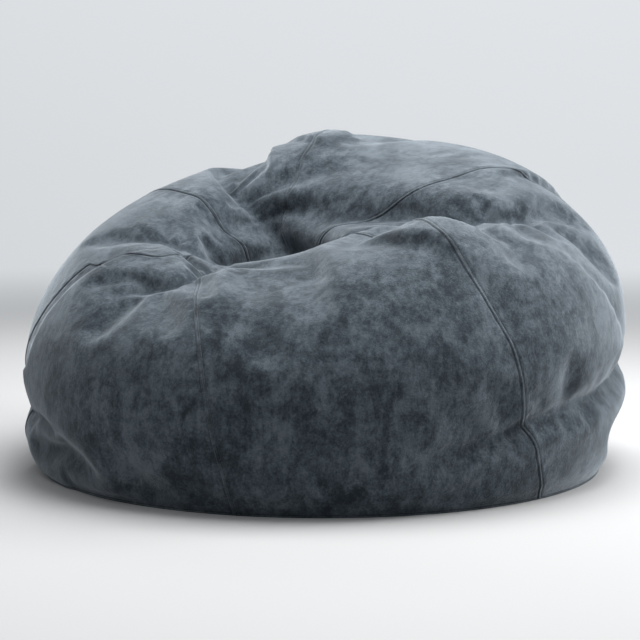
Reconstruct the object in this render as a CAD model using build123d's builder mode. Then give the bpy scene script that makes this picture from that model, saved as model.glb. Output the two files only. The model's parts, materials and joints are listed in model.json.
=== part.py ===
"""Gored bean bag chair, 60 in across, in millimetres.

The bag is a ball of fabric cut flat by the floor. Its seat axis leans to the front (-Y), and round that axis
the ball rolls over into a thick rim and down into the seat hollow, so the back stands higher than the front.
Six gores run from a round cap at the bottom of the hollow to a flat round base. The cover closes with a zip in
its back seam. Inside it is a liner bag of the same pattern with its own zip, and inside that the foam fill.
+Z is up, -Y is the front, and the origin is at the middle of the base, on the floor.
"""

import os
from dataclasses import dataclass
from math import acos, atan2, cos, degrees, radians, sin

from build123d import *

# ---- Driving dimensions ----
bag_diameter = 1524.0
centre_height = 300.0  # of the ball's centre above the floor
lean = 22.0  # of the seat axis, from upright towards the front
rim_radius = 415.0  # from the seat axis to the crest of the rim
rim_height = 390.0  # of the crest above the ball's centre, along the seat axis
seat_depth = 240.0  # of the hollow, below the crest
cap_radius = 95.0

gore_count = 6
first_seam = 277.0  # angle of the front seam about the seat axis; 270 is straight to the front
gore_span = 360.0 / gore_count
gore_names = ("front_right", "right", "back_right", "back_left", "left", "front_left")

cover_thickness = 1.6
liner_depth = 4.4  # of the liner's outer face below the cover's
liner_thickness = 0.8
fill_depth = 7.8

# ---- The bag's profile, worked out from those ----
ball_radius = bag_diameter / 2
rise = ball_radius - rim_height
roll_radius = ball_radius - (rim_radius**2 + rise**2) / (2 * rise)
roll_height = rim_height - roll_radius
roll_start = degrees(atan2(roll_height, rim_radius))
hollow_bottom = rim_height - seat_depth
drop = hollow_bottom - roll_height
hollow_radius = (rim_radius**2 + drop**2 - roll_radius**2) / (2 * (roll_radius - drop))
hollow_height = hollow_bottom + hollow_radius
roll_end = degrees(atan2(hollow_height - roll_height, -rim_radius))
cap_edge = -degrees(acos(cap_radius / hollow_radius))
under_floor = -60.0  # latitude, below the floor all round

# The bag reaches as far back as the ball does, and as far forward as the rolled rim does.
front_reach = rim_radius * cos(radians(lean)) + roll_height * sin(radians(lean)) + roll_radius
centre = Vector(0, (front_reach - ball_radius) / 2, centre_height)
seat_direction = Vector(0, -sin(radians(lean)), cos(radians(lean)))
seat_axis = Axis(centre, seat_direction)


# ---- Directions and planes on the ball ----
def radial(angle):
    """Unit vector away from the seat axis, at an angle about it from +X."""
    return Vector(1, 0, 0) * cos(radians(angle)) + seat_direction.cross(Vector(1, 0, 0)) * sin(radians(angle))


def outward(angle, latitude):
    """Unit vector from the ball's centre to a place on it."""
    return radial(angle) * cos(radians(latitude)) + seat_direction * sin(radians(latitude))


def meridian(angle):
    """Plane of a seam: X away from the seat axis, Y along it."""
    return Plane(origin=centre, x_dir=radial(angle), z_dir=radial(angle).cross(seat_direction))


def surface_plane(angle, latitude, radius):
    """Plane facing outward at a place on the ball: X across the seam, Y up along it."""
    out = outward(angle, latitude)
    return Plane(origin=centre + out * radius, x_dir=seat_direction.cross(radial(angle)), z_dir=out)


def seam_hinge(angle):
    """Axis through the ball's centre about which a piece runs up along a seam."""
    return Axis(centre, radial(angle).cross(seat_direction))


# ---- Bag shapes ----
def skin_arcs(depth, last_angle):
    """The bag's profile, a depth inside the outer face, from below the floor over the rim into the hollow."""
    CenterArc((0, 0), ball_radius - depth, under_floor, roll_start - under_floor)
    CenterArc((rim_radius, roll_height), roll_radius - depth, roll_start, roll_end - roll_start)
    CenterArc((0, hollow_height), hollow_radius + depth, roll_end - 180, last_angle - roll_end + 180)


def on_ball(depth, latitude):
    reach = ball_radius - depth
    return (reach * cos(radians(latitude)), reach * sin(radians(latitude)))


def in_hollow(depth, angle):
    reach = hollow_radius + depth
    return (reach * cos(radians(angle)), hollow_height + reach * sin(radians(angle)))


def gore(seam, depth, thickness, floor, slot=None):
    """One gore of a bag, from its seam to the next, standing on a floor height, less a zip's slot."""
    inside = depth + thickness
    with BuildPart() as panel:
        with BuildSketch(meridian(seam)):
            with BuildLine():
                skin_arcs(depth, cap_edge)
                skin_arcs(inside, cap_edge)
                Line(on_ball(depth, under_floor), on_ball(inside, under_floor))
                Line(in_hollow(depth, cap_edge), in_hollow(inside, cap_edge))
            make_face()
        revolve(axis=seat_axis, revolution_arc=gore_span)
        split(bisect_by=Plane.XY.offset(floor), keep=Keep.TOP)
        if slot is not None:
            add(slot, mode=Mode.SUBTRACT)
    return panel.part


def cap(depth, thickness):
    """The round patch that closes a bag's gores at the bottom of the hollow."""
    inside = depth + thickness
    with BuildPart() as patch:
        with BuildSketch(meridian(0)):
            with BuildLine():
                CenterArc((0, hollow_height), hollow_radius + depth, -90, cap_edge + 90)
                CenterArc((0, hollow_height), hollow_radius + inside, -90, cap_edge + 90)
                Line(in_hollow(depth, -90), in_hollow(inside, -90))
                Line(in_hollow(depth, cap_edge), in_hollow(inside, cap_edge))
            make_face()
        revolve(axis=seat_axis)
    return patch.part


def filled_bag(depth, floor):
    """The bag's whole inside, a depth below its outer face, cut flat at a floor height."""
    with BuildPart() as inside:
        with BuildSketch(meridian(0)):
            with BuildLine():
                skin_arcs(depth, -90)
                Line(on_ball(depth, under_floor), (0, on_ball(depth, under_floor)[1]))
                Line((0, on_ball(depth, under_floor)[1]), in_hollow(depth, -90))
            make_face()
        revolve(axis=seat_axis)
        split(bisect_by=Plane.XY.offset(floor), keep=Keep.TOP)
    return inside.part


def base(depth, floor, thickness):
    """The flat round panel that a bag stands on."""
    with BuildPart() as disc:
        add(filled_bag(depth, floor))
        split(bisect_by=Plane.XY.offset(floor + thickness), keep=Keep.BOTTOM)
    return disc.part


def seam_band(angle, low, high, sections):
    """A strip along a seam, between two latitudes. Each section is (across from, to, radius from, to)."""
    out = outward(angle, low)
    hinge = seam_hinge(angle)
    with BuildPart() as band:
        with BuildSketch(Plane(origin=centre, x_dir=hinge.direction, z_dir=hinge.direction.cross(out))):
            for across_0, across_1, radius_0, radius_1 in sections:
                with Locations(((across_0 + across_1) / 2, (radius_0 + radius_1) / 2)):
                    Rectangle(across_1 - across_0, radius_1 - radius_0)
        revolve(axis=hinge, revolution_arc=high - low)
    return band.part


# ---- Zips ----
@dataclass
class Zip:
    """A coil zip along a seam. Widths are from the seam's middle; radii are from the ball's centre."""

    seam: float
    low: float  # latitude of the lower ends of the coils
    high: float
    tape_radius: float  # of the tapes' outer faces
    tape_width: float
    slot_width: float
    coil_inner: float
    coil_outer: float
    coil_height: float
    neck: float
    flange_inner: float
    flange_outer: float
    plate: float
    gap: float = 0.4  # kept between the slider and what it runs on
    tape_thickness: float = 0.5
    stop_length: float = 0.25  # degrees
    slider_half: float = 7.0  # length of the slider each side of its middle

    @property
    def rest(self):
        """Latitude of the slider's middle when the zip is closed."""
        return self.high - degrees(self.slider_half / self.tape_radius) - 0.05

    @property
    def coil_top(self):
        return self.tape_radius + self.coil_height


cover_zip = Zip(
    seam=first_seam - 3 * gore_span,
    low=-40.95,
    high=4.8,
    tape_radius=ball_radius - 1.8,
    tape_width=16.0,
    slot_width=6.5,
    coil_inner=1.2,
    coil_outer=3.4,
    coil_height=2.1,
    neck=0.8,
    flange_inner=4.0,
    flange_outer=5.2,
    plate=1.4,
)
liner_zip = Zip(
    seam=first_seam - 4 * gore_span,
    low=-33.0,
    high=4.8,
    tape_radius=ball_radius - liner_depth - liner_thickness - 0.2,
    tape_width=14.0,
    slot_width=5.5,
    coil_inner=1.0,
    coil_outer=2.8,
    coil_height=1.6,
    neck=0.6,
    flange_inner=3.3,
    flange_outer=4.3,
    plate=0.8,
    slider_half=6.0,
)


def zip_slot(zipper):
    """What the two gores beside a zip are cut back by, to show the coils between their turned edges."""
    reach = (zipper.tape_radius - 5, zipper.tape_radius + 10)
    return seam_band(
        zipper.seam,
        zipper.low - 2 * zipper.stop_length - 0.1,
        zipper.high + 2 * zipper.stop_length + 0.1,
        [(-zipper.slot_width, zipper.slot_width, *reach)],
    )


def zip_tape(zipper, side):
    edges = sorted((side * (zipper.coil_inner + 1.0), side * zipper.tape_width))
    radii = (zipper.tape_radius - zipper.tape_thickness, zipper.tape_radius)
    return seam_band(zipper.seam, zipper.low - 1.2, zipper.high + 0.9, [(*edges, *radii)])


def zip_coil(zipper, side):
    """One side's coil as a plain rail. The pair leave a gap between them for the slider's neck."""
    edges = sorted((side * zipper.coil_inner, side * zipper.coil_outer))
    return seam_band(zipper.seam, zipper.low, zipper.high, [(*edges, zipper.tape_radius, zipper.coil_top)])


def top_stops(zipper):
    """A metal stop on each tape, past the closed end."""
    low = zipper.high + 0.03
    radii = (zipper.tape_radius, zipper.coil_top + 0.6)
    inner, outer = zipper.coil_inner + 1.2, zipper.coil_outer + 0.8
    return seam_band(
        zipper.seam, low, low + zipper.stop_length, [(-outer, -inner, *radii), (inner, outer, *radii)]
    )


def bottom_stop(zipper):
    """One metal stop across both tapes, past the open end."""
    high = zipper.low - 0.03
    outer = zipper.coil_outer + 0.8
    return seam_band(
        zipper.seam,
        high - zipper.stop_length,
        high,
        [(-outer, outer, zipper.tape_radius, zipper.coil_top + 0.6)],
    )


def slider_plane(zipper):
    return surface_plane(zipper.seam, zipper.rest, zipper.coil_top)


def zip_slider(zipper, bail=None):
    """A slider: two plates joined by a neck, with flanges beside the coils, and a bail where it has a pull."""
    frame = slider_plane(zipper)
    top = zipper.gap
    below = -(zipper.coil_height + zipper.tape_thickness + zipper.gap)
    half, width = zipper.slider_half, zipper.flange_outer
    with BuildPart() as slider:
        for height, thickness in ((top, zipper.plate), (below, -0.9)):
            with BuildSketch(frame.offset(height)):
                with BuildLine():
                    Polyline((-width, half), (width, half), (width * 0.92, -half), (-width * 0.92, -half), close=True)
                make_face()
                fillet(vertices(), 1.8)
            extrude(amount=thickness)
        with BuildSketch(frame.offset(below)):
            with Locations((0, half / 3)):
                RectangleRounded(2 * zipper.neck, half, zipper.neck * 0.9)
        extrude(amount=top - below)
        side = (zipper.flange_inner + zipper.flange_outer) / 2
        with BuildSketch(frame.offset(top)):
            with Locations((-side, 0), (side, 0)):
                Rectangle(zipper.flange_outer - zipper.flange_inner - 0.2, 1.5 * half)
        extrude(amount=-(top + zipper.coil_height - zipper.gap))
        if bail is not None:
            plate_top = top + zipper.plate
            with BuildSketch(Plane(origin=frame.origin, x_dir=frame.y_dir, z_dir=frame.x_dir)):
                with Locations((0, plate_top + bail.height / 2 - 0.1)):
                    RectangleRounded(bail.length, bail.height + 0.2, bail.height * 0.45)
                with Locations((0, plate_top + bail.bar_height)):
                    SlotOverall(bail.window, bail.window_height, mode=Mode.SUBTRACT)
            extrude(amount=bail.thickness / 2, both=True)
    return slider.part


@dataclass
class Bail:
    """The bridge on a slider that its pull swings on."""

    length: float = 10.4
    height: float = 4.4
    thickness: float = 2.2
    window: float = 5.2
    window_height: float = 2.0
    bar_height: float = 2.2  # of the pull's bar above the slider's top plate


cover_bail = Bail()
bar_radius = 0.65
pull_length = 32.0
pull_thickness = 1.5
pull_droop = 4.0  # degrees that the pull leans in towards the fabric


def pull_plane(zipper, bail):
    """Plane of the pull at rest: the bar along X, the pull along -Y."""
    frame = slider_plane(zipper)
    bar = frame.origin + frame.z_dir * (zipper.gap + zipper.plate + bail.bar_height)
    leaned = frame.rotated((pull_droop, 0, 0))
    return Plane(origin=bar, x_dir=leaned.x_dir, z_dir=leaned.z_dir)


def zip_pull(zipper, bail):
    """The pull: a bar through the bail's window, two arms past the bail, and a flat tab with a slot."""
    frame = pull_plane(zipper, bail)
    arm_inner, arm_outer, web_start, web_end = 1.5, 2.9, -6.6, -8.4
    with BuildPart() as pull:
        with BuildSketch(frame.offset(-pull_thickness / 2)):
            with BuildLine():
                Polyline(
                    (-arm_outer, 1.0), (arm_outer, 1.0), (arm_outer, web_start), (4.0, web_end - 3),
                    (4.0, -pull_length), (-4.0, -pull_length), (-4.0, web_end - 3), (-arm_outer, web_start),
                    close=True,
                )  # fmt: skip
            make_face()
            fillet(vertices().sort_by(Axis.Y)[:2], 2.5)
            with Locations((0, (1.2 + web_start) / 2)):
                Rectangle(2 * arm_inner, 1.2 - web_start, mode=Mode.SUBTRACT)
            with Locations((0, -pull_length + 8.5)):
                SlotOverall(11, 3.6, rotation=90, mode=Mode.SUBTRACT)
        extrude(amount=pull_thickness)
        with BuildSketch(Plane(origin=frame.origin, x_dir=frame.y_dir, z_dir=frame.x_dir)):
            Circle(bar_radius)
        extrude(amount=arm_outer - 0.1, both=True)
    return pull.part


# ---- Care label ----
label_seam = first_seam - 2 * gore_span
label_low, label_high = -24.0, -21.4
label_width = 26.0
label_radii = (ball_radius + 0.1, ball_radius + 1.1)


def care_label():
    """A blank folded tag, sewn into a side seam near the floor and lying against the panel."""
    return seam_band(label_seam, label_low, label_high, [(0.5, label_width, *label_radii)])


# ---- Build ----
def bag(prefix, depth, thickness, floor, zipper):
    """A bag's gores, cap and base, by node name. Gores beside the zip are cut back for it."""
    slot = zip_slot(zipper)
    made = {}
    for index, name in enumerate(gore_names):
        seam = first_seam + index * gore_span
        beside = any(abs((seam + edge - zipper.seam + 180) % 360 - 180) < 1 for edge in (0, gore_span))
        made[f"{prefix}_panel_{name}"] = gore(seam, depth, thickness, floor + thickness, slot if beside else None)
    made[f"{prefix}_top_cap"] = cap(depth, thickness)
    made[f"{prefix}_base_panel"] = base(depth, floor, thickness)
    return made


def zip_fittings(prefix, zipper):
    """A zip's fixed pieces, by node name."""
    return {
        f"{prefix}_zip_tape_left": zip_tape(zipper, -1),
        f"{prefix}_zip_tape_right": zip_tape(zipper, 1),
        f"{prefix}_zip_coil_left": zip_coil(zipper, -1),
        f"{prefix}_zip_coil_right": zip_coil(zipper, 1),
        f"{prefix}_zip_top_stops": top_stops(zipper),
        f"{prefix}_zip_bottom_stop": bottom_stop(zipper),
    }


pieces = {
    **bag("cover", 0.0, cover_thickness, 0.0, cover_zip),
    **bag("liner", liner_depth, liner_thickness, cover_thickness, liner_zip),
    **zip_fittings("cover", cover_zip),
    **zip_fittings("liner", liner_zip),
    "cover_zip_slider": zip_slider(cover_zip, cover_bail),
    "cover_zip_pull": zip_pull(cover_zip, cover_bail),
    "liner_zip_slider": zip_slider(liner_zip),
    "foam_fill": filled_bag(fill_depth, cover_thickness + liner_thickness),
    "care_label": care_label(),
}

os.makedirs("parts", exist_ok=True)
for name, piece in pieces.items():
    piece.label = name
    export_step(piece, f"parts/{name}.step")

# ---- What the joints and mounts need, in metres and degrees ----
bar = pull_plane(cover_zip, cover_bail).origin


def metres(vector):
    return [round(value / 1000, 6) for value in vector]


def direction(vector):
    return [round(value, 7) for value in vector]


for name, zipper in (("cover", cover_zip), ("liner", liner_zip)):
    travel = zipper.rest - zipper.low - degrees(zipper.slider_half / zipper.tape_radius) - 0.05
    print(name, "zip: centre", metres(centre), "axis", direction(seam_hinge(zipper.seam).direction), "travel", travel)
print("pull: bar", metres(bar), "axis", direction(seam_hinge(cover_zip.seam).direction))
print("base radius", (ball_radius**2 - centre_height**2) ** 0.5, "hollow radius", hollow_radius)
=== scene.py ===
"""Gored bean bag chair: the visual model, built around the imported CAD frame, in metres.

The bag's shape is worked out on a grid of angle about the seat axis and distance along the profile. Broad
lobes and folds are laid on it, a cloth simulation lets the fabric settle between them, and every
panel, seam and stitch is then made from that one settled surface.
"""

import json
from dataclasses import dataclass
from math import acos, atan2, cos, pi, radians, sin, tau

import bpy
import numpy as np
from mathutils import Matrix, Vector, noise


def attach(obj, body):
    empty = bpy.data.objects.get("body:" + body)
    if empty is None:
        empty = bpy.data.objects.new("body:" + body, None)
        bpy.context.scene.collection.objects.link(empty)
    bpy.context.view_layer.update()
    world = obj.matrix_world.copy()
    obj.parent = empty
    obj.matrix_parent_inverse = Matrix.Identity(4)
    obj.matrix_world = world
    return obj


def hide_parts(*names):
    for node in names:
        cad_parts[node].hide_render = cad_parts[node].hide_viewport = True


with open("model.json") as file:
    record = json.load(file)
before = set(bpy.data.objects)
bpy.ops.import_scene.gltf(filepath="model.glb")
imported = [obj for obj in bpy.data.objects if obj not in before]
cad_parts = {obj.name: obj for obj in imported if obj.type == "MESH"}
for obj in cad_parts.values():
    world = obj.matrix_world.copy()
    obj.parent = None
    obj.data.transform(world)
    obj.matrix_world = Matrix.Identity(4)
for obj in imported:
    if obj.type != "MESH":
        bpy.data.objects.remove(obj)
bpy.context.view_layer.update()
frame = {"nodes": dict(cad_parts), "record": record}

# ---- The CAD model's driving dimensions ----
MM = 0.001
BALL_RADIUS = 0.762
LEAN = radians(22)  # of the seat axis, from upright towards the front (-Y)
RIM_RADIUS = 0.415
RIM_HEIGHT = 0.390
SEAT_DEPTH = 0.240
CAP_RADIUS = 0.095
COVER_THICKNESS = 0.0016
GORES = ("front_right", "right", "back_right", "back_left", "left", "front_left")
FIRST_SEAM = 277.0  # angles about the seat axis, in degrees from +X
GORE_SPAN = 60.0
ZIP_SEAM = 97.0
LINER_ZIP_SEAM = 37.0

# ---- The profile, worked out as the CAD does ----
joints = {joint["name"]: joint for joint in frame["record"]["behaviour"]["joints"]}
CENTRE = np.array(joints["cover_zip_travel"]["pos_m"])
rise = BALL_RADIUS - RIM_HEIGHT
ROLL_RADIUS = BALL_RADIUS - (RIM_RADIUS**2 + rise**2) / (2 * rise)
ROLL_HEIGHT = RIM_HEIGHT - ROLL_RADIUS
ROLL_START = atan2(ROLL_HEIGHT, RIM_RADIUS)
drop = RIM_HEIGHT - SEAT_DEPTH - ROLL_HEIGHT
HOLLOW_RADIUS = (RIM_RADIUS**2 + drop**2 - ROLL_RADIUS**2) / (2 * (ROLL_RADIUS - drop))
HOLLOW_HEIGHT = RIM_HEIGHT - SEAT_DEPTH + HOLLOW_RADIUS
ROLL_END = atan2(HOLLOW_HEIGHT - ROLL_HEIGHT, -RIM_RADIUS)

# Distances along the profile, counted from where the ball rolls over into the rim.
CREST = ROLL_RADIUS * (pi / 2 - ROLL_START)
ROLL_LENGTH = ROLL_RADIUS * (ROLL_END - ROLL_START)
CAP_EDGE = ROLL_LENGTH + HOLLOW_RADIUS * (ROLL_END - pi + acos(CAP_RADIUS / HOLLOW_RADIUS))
POLE = ROLL_LENGTH + HOLLOW_RADIUS * (ROLL_END - pi / 2)

SEAT_AXIS = np.array([0, -sin(LEAN), cos(LEAN)])
ACROSS = np.array([1.0, 0, 0])
BACK = np.cross(SEAT_AXIS, ACROSS)


def smooth(values, low, high):
    """0 below low, 1 above high, with a smooth step between."""
    part = np.clip((values - low) / (high - low), 0, 1)
    return part * part * (3 - 2 * part)


def profile(along):
    """(distance from the seat axis, height along it) of points on the CAD's profile."""
    ball = ROLL_START + along / BALL_RADIUS
    roll = ROLL_START + along / ROLL_RADIUS
    hollow = ROLL_END - pi - (along - ROLL_LENGTH) / HOLLOW_RADIUS
    on = [along < 0, along < ROLL_LENGTH]
    radii = [BALL_RADIUS * np.cos(ball), RIM_RADIUS + ROLL_RADIUS * np.cos(roll)]
    heights = [BALL_RADIUS * np.sin(ball), ROLL_HEIGHT + ROLL_RADIUS * np.sin(roll)]
    radius = np.select(on, radii, HOLLOW_RADIUS * np.cos(hollow))
    return radius, np.select(on, heights, HOLLOW_HEIGHT + HOLLOW_RADIUS * np.sin(hollow))


def floor_along(angle):
    """Where the profile at each angle, in degrees, meets the floor."""
    side, up = np.sin(np.radians(angle)) * sin(LEAN), cos(LEAN)
    size = np.hypot(side, up)
    latitude = np.arctan2(up, side) - np.arccos((COVER_THICKNESS - CENTRE[2]) / (BALL_RADIUS * size))
    return (latitude - ROLL_START) * BALL_RADIUS


def outward(angle):
    """Unit vectors straight out from the seat axis."""
    turn = np.radians(angle)[..., None]
    return np.cos(turn) * ACROSS + np.sin(turn) * BACK


def cad_surface(angle, along):
    """Points of the CAD's outer face."""
    radius, height = profile(along)
    return CENTRE + outward(angle) * radius[..., None] + SEAT_AXIS * height[..., None]


# ---- The grid that the bag's shape is worked out on ----
COLUMNS = 300  # round the seat axis
PANEL_ROWS = 108  # from the floor to the cap's edge
CAP_ROWS = 8  # from there to the middle of the cap
CAP_END = POLE - 0.008  # the last row is a small ring round the cap's middle


def along_of(angle, row):
    """Distance along the profile at a row, which may lie between two rows."""
    floor = floor_along(angle)
    on_panel = floor + np.minimum(row / PANEL_ROWS, 1) * (CAP_EDGE - floor)
    on_cap = np.maximum(row - PANEL_ROWS, 0) / CAP_ROWS * (CAP_END - CAP_EDGE)
    return on_panel + on_cap


rows, columns = np.meshgrid(np.arange(PANEL_ROWS + CAP_ROWS + 1.0), np.arange(COLUMNS) * 1.0, indexing="ij")
angles = columns * 360 / COLUMNS
alongs = along_of(angles, rows)


def grid_normals(points):
    """Unit normals, outward, of a grid that closes on itself round the seat axis."""
    round_it = np.roll(points, -1, axis=1) - np.roll(points, 1, axis=1)
    normals = np.cross(round_it, np.gradient(points, axis=0))
    return normals / np.maximum(np.linalg.norm(normals, axis=-1, keepdims=True), 1e-12)


# ---- Lobes and folds ----
FOLD_POINTS = 60  # along each
FOLD_REACH = 3.5  # widths, past which a fold moves nothing


@dataclass
class Fold:
    """A crease, channel or ridge along a path of (angle, distance along the profile)."""

    path: tuple
    depth: float  # into the bag, or out of it where negative
    width: float  # to where it is a third as deep
    sharpness: float = 1.3  # 1 is a creased fold, 2 is a round one
    lap: float = 0.0  # how far the cloth at the path's left is drawn over it
    fade: tuple = (0.25, 0.25)  # share of its length over which each end runs out


def spline(points, count):
    """Points evenly along a smooth curve through the given ones."""
    points = np.array(points, float)
    if len(points) == 2:
        return points[0] + (points[1] - points[0]) * np.linspace(0, 1, count)[:, None]
    ends = np.vstack([2 * points[0] - points[1], points, 2 * points[-1] - points[-2]])
    at = np.linspace(0, len(points) - 1 - 1e-9, count)
    first, part = at.astype(int), (at % 1)[:, None]
    a, b, c, d = (ends[first + k] for k in range(4))
    bend, twist = 2 * a - 5 * b + 4 * c - d, 3 * b - a - 3 * c + d
    return 0.5 * (2 * b + (c - a) * part + bend * part**2 + twist * part**3)


def fold_line(fold):
    """Points along a fold, on the CAD's surface."""
    return cad_surface(*spline(fold.path, FOLD_POINTS).T)


def run_out(fold, part):
    """How strong a fold is, from 0 to 1, at a share of its length."""
    start, end = (max(share, 1e-6) for share in fold.fade)
    return smooth(part, 0, start) * smooth(1 - part, 0, end)


def folded(points, folds):
    """The grid's points, moved by the folds."""
    normals = grid_normals(points)
    moved = points.copy()
    for fold in folds:
        line = fold_line(fold)
        reach = FOLD_REACH * fold.width
        inside = (points > line.min(0) - reach) & (points < line.max(0) + reach)
        near = np.flatnonzero(inside.all(-1).ravel())
        flat, normal = points.reshape(-1, 3)[near], normals.reshape(-1, 3)[near]
        away = np.linalg.norm(flat[:, None] - line[None], axis=-1)
        nearest = away.argmin(1)
        away = away[np.arange(len(near)), nearest]
        tangent = np.gradient(line, axis=0)[nearest]
        left = np.cross(normal, tangent)
        left /= np.maximum(np.linalg.norm(left, axis=1, keepdims=True), 1e-12)
        side = ((flat - line[nearest]) * left).sum(1)
        strength = run_out(fold, nearest / (FOLD_POINTS - 1))
        share = (strength * np.exp(-((away / fold.width) ** fold.sharpness)))[:, None]
        lap = np.exp(-((away / (2 * fold.width)) ** 2)) * strength * (side > -0.2 * fold.width)
        moved.reshape(-1, 3)[near] += -normal * fold.depth * share - left * (fold.lap * lap)[:, None]
    return moved


# ---- The bag's shape ----
LOBES = (
    # The seat's front rim dips in its middle and swells to a shoulder on its right.
    Fold(path=((268, 0.46), (285, 0.50), (303, 0.50)), depth=0.035, width=0.13, sharpness=2),
    Fold(path=((325, 0.45), (345, 0.50)), depth=-0.035, width=0.15, sharpness=2),
    # The far shoulders are slack, and the back is highest at its seam.
    Fold(path=((118, 0.32), (150, 0.28), (185, 0.25), (222, 0.24)), depth=0.037, width=0.25, sharpness=2,
         fade=(0, 0)),
    Fold(path=((0, 0.08), (25, 0.18), (40, 0.24)), depth=0.02, width=0.16, sharpness=2, fade=(0, 0)),
    Fold(path=((98, 0.38), (108, 0.46)), depth=-0.02, width=0.12, sharpness=2, fade=(0, 0)),
    # Both sides sag out over the floor.
    Fold(path=((180, -0.40), (210, -0.25), (240, -0.15)), depth=-0.008, width=0.13, sharpness=2, fade=(0, 0)),
)
CREASES = (
    # Between the front lip and the back, on both sides of the seat.
    Fold(path=((228, 0.30), (241, 0.42), (249, 0.50), (248, 0.60), (238, 0.74)), depth=0.05, width=0.045),
    Fold(path=((6, 0.25), (13, 0.31), (7, 0.42), (3, 0.52), (4, 0.64), (14, 0.78)), depth=0.075, width=0.055),
    # The deep one, where the left side overlaps the back.
    Fold(path=((146, 0.86), (142, 0.72), (143, 0.60), (141, 0.50), (138, 0.42), (136, 0.36)),
         depth=0.065, width=0.026, sharpness=1.6, lap=-0.02, fade=(0.12, 0.16)),
    # Folds drawn together between the seams of the left side.
    Fold(path=((238, 0.66), (215, 0.63), (207, 0.55), (202, 0.47), (198, 0.40)), depth=0.035, width=0.035),
    Fold(path=((170, 0.82), (174, 0.63), (175, 0.48)), depth=0.02, width=0.03),
    Fold(path=((189, 0.80), (188, 0.62), (190, 0.50), (184, 0.40)), depth=-0.02, width=0.03, sharpness=1.6),
    Fold(path=((222, 0.28), (234, 0.36), (243, 0.44)), depth=-0.012, width=0.025, sharpness=1.6),
    # Ridges on the back and over the front rim.
    Fold(path=((18, 0.74), (35, 0.66), (45, 0.58), (57, 0.45)), depth=-0.03, width=0.04, sharpness=1.5),
    Fold(path=((312, 0.50), (313, 0.38)), depth=-0.018, width=0.03, sharpness=1.6),
    Fold(path=((287, 0.50), (294, 0.34)), depth=-0.012, width=0.035, sharpness=1.6),
    # Low folds, mostly at the right.
    Fold(path=((300, -0.02), (316, -0.04), (330, -0.055), (342, -0.085), (354, -0.125), (368, -0.17),
               (382, -0.205)), depth=0.036, width=0.034, lap=0.006, fade=(0.25, 0.1)),
    Fold(path=((306, 0.10), (322, 0.075), (338, 0.01), (350, -0.03)), depth=0.022, width=0.04),
    Fold(path=((311, 0.20), (322, 0.145), (333, 0.09)), depth=0.018, width=0.03),
    Fold(path=((270, 0.215), (288, 0.222)), depth=0.014, width=0.022),
    Fold(path=((196, -0.10), (212, -0.06), (228, -0.04)), depth=0.03, width=0.035, lap=0.01),
    Fold(path=((190, -0.22), (208, -0.17), (226, -0.13)), depth=0.025, width=0.03),
)

SEAT_SHIFT = 0.085  # how far the seat has been sat off its axis, to the side away from the right
SEAT_SHIFT_REACH = 0.33  # from the crest to where the whole shift is reached
SEAT_SIDE = np.array([-cos(radians(22.5)), -sin(radians(22.5)), 0])


def start_shape():
    """The bag before it is folded: the CAD's surface, with its hollow pushed aside."""
    aside = SEAT_SHIFT * smooth(alongs, CREST, CREST + SEAT_SHIFT_REACH)
    return cad_surface(angles, alongs) + aside[..., None] * SEAT_SIDE


def on_floor(points):
    """The points, kept on or above the floor, with the first row on it."""
    points = points.copy()
    points[..., 2] = np.maximum(points[..., 2], COVER_THICKNESS)
    points[0, :, 2] = COVER_THICKNESS
    return points


# ---- Meshes ----
def mesh_object(name, points, faces):
    """A smooth-shaded mesh in the scene."""
    mesh = bpy.data.meshes.new(name)
    mesh.from_pydata(np.asarray(points).reshape(-1, 3).tolist(), [], faces)
    mesh.validate()
    mesh.shade_smooth()
    piece = bpy.data.objects.new(name, mesh)
    bpy.context.collection.objects.link(piece)
    return piece


def grid_faces(count_rows, count_columns, closed=False):
    """The quads of a grid of points, whose last column joins its first where it is closed."""
    ij = np.arange(count_rows * count_columns).reshape(count_rows, count_columns)
    if closed:
        ij = np.hstack([ij, ij[:, :1]])
    return np.stack([ij[:-1, :-1], ij[:-1, 1:], ij[1:, 1:], ij[1:, :-1]], -1).reshape(-1, 4).tolist()


# ---- Settling the fabric ----
SETTLE_FRAMES = 24
FOLDING_FRAMES = 14  # over which the folds are drawn in
SLACK = 0.01  # how much longer the fabric is than the start shape
PRESSURE = 1.0
# (angle, whole within, gone at) of the patches beside the zips, in degrees and metres, and their tops.
ZIP_PATCHES = ((ZIP_SEAM, 0.035, 0.085), (LINER_ZIP_SEAM, 0.018, 0.075))
ZIP_PATCH_TOP = (0.006, 0.07)
LOOSE_HOLD = 0.08  # where nothing holds the fabric
CREASE_HOLD = 0.9
CREASE_HOLD_WIDTH = 0.026
SHALLOW = 0.03  # creases less deep than this aren't held
# Spare fabric: (angle, share of the radius) at the rim, and (angle, length) at the floor.
RIM_SPARE = ((0, 0.02), (40, 0.03), (90, 0.025), (140, 0.01), (180, 0.018), (240, 0.035), (265, 0.012),
             (320, 0.012), (360, 0.02))
FLOOR_SPARE = ((0, 0.025), (40, 0.02), (150, 0.03), (190, 0.05), (230, 0.04), (260, 0.015), (295, 0.01),
               (320, 0.022), (360, 0.025))


def near_zips():
    """1 beside the two zips, where the fabric lies as the CAD's does, and 0 away from them."""
    near = np.zeros(angles.shape)
    for seam, full, gone in ZIP_PATCHES:
        across = (angles - seam + 180) % 360 - 180
        away = np.abs(np.radians(across)) * profile(alongs)[0]
        near = np.maximum(near, (1 - smooth(away, full, gone)) * (1 - smooth(alongs, *ZIP_PATCH_TOP)))
    return near


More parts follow.
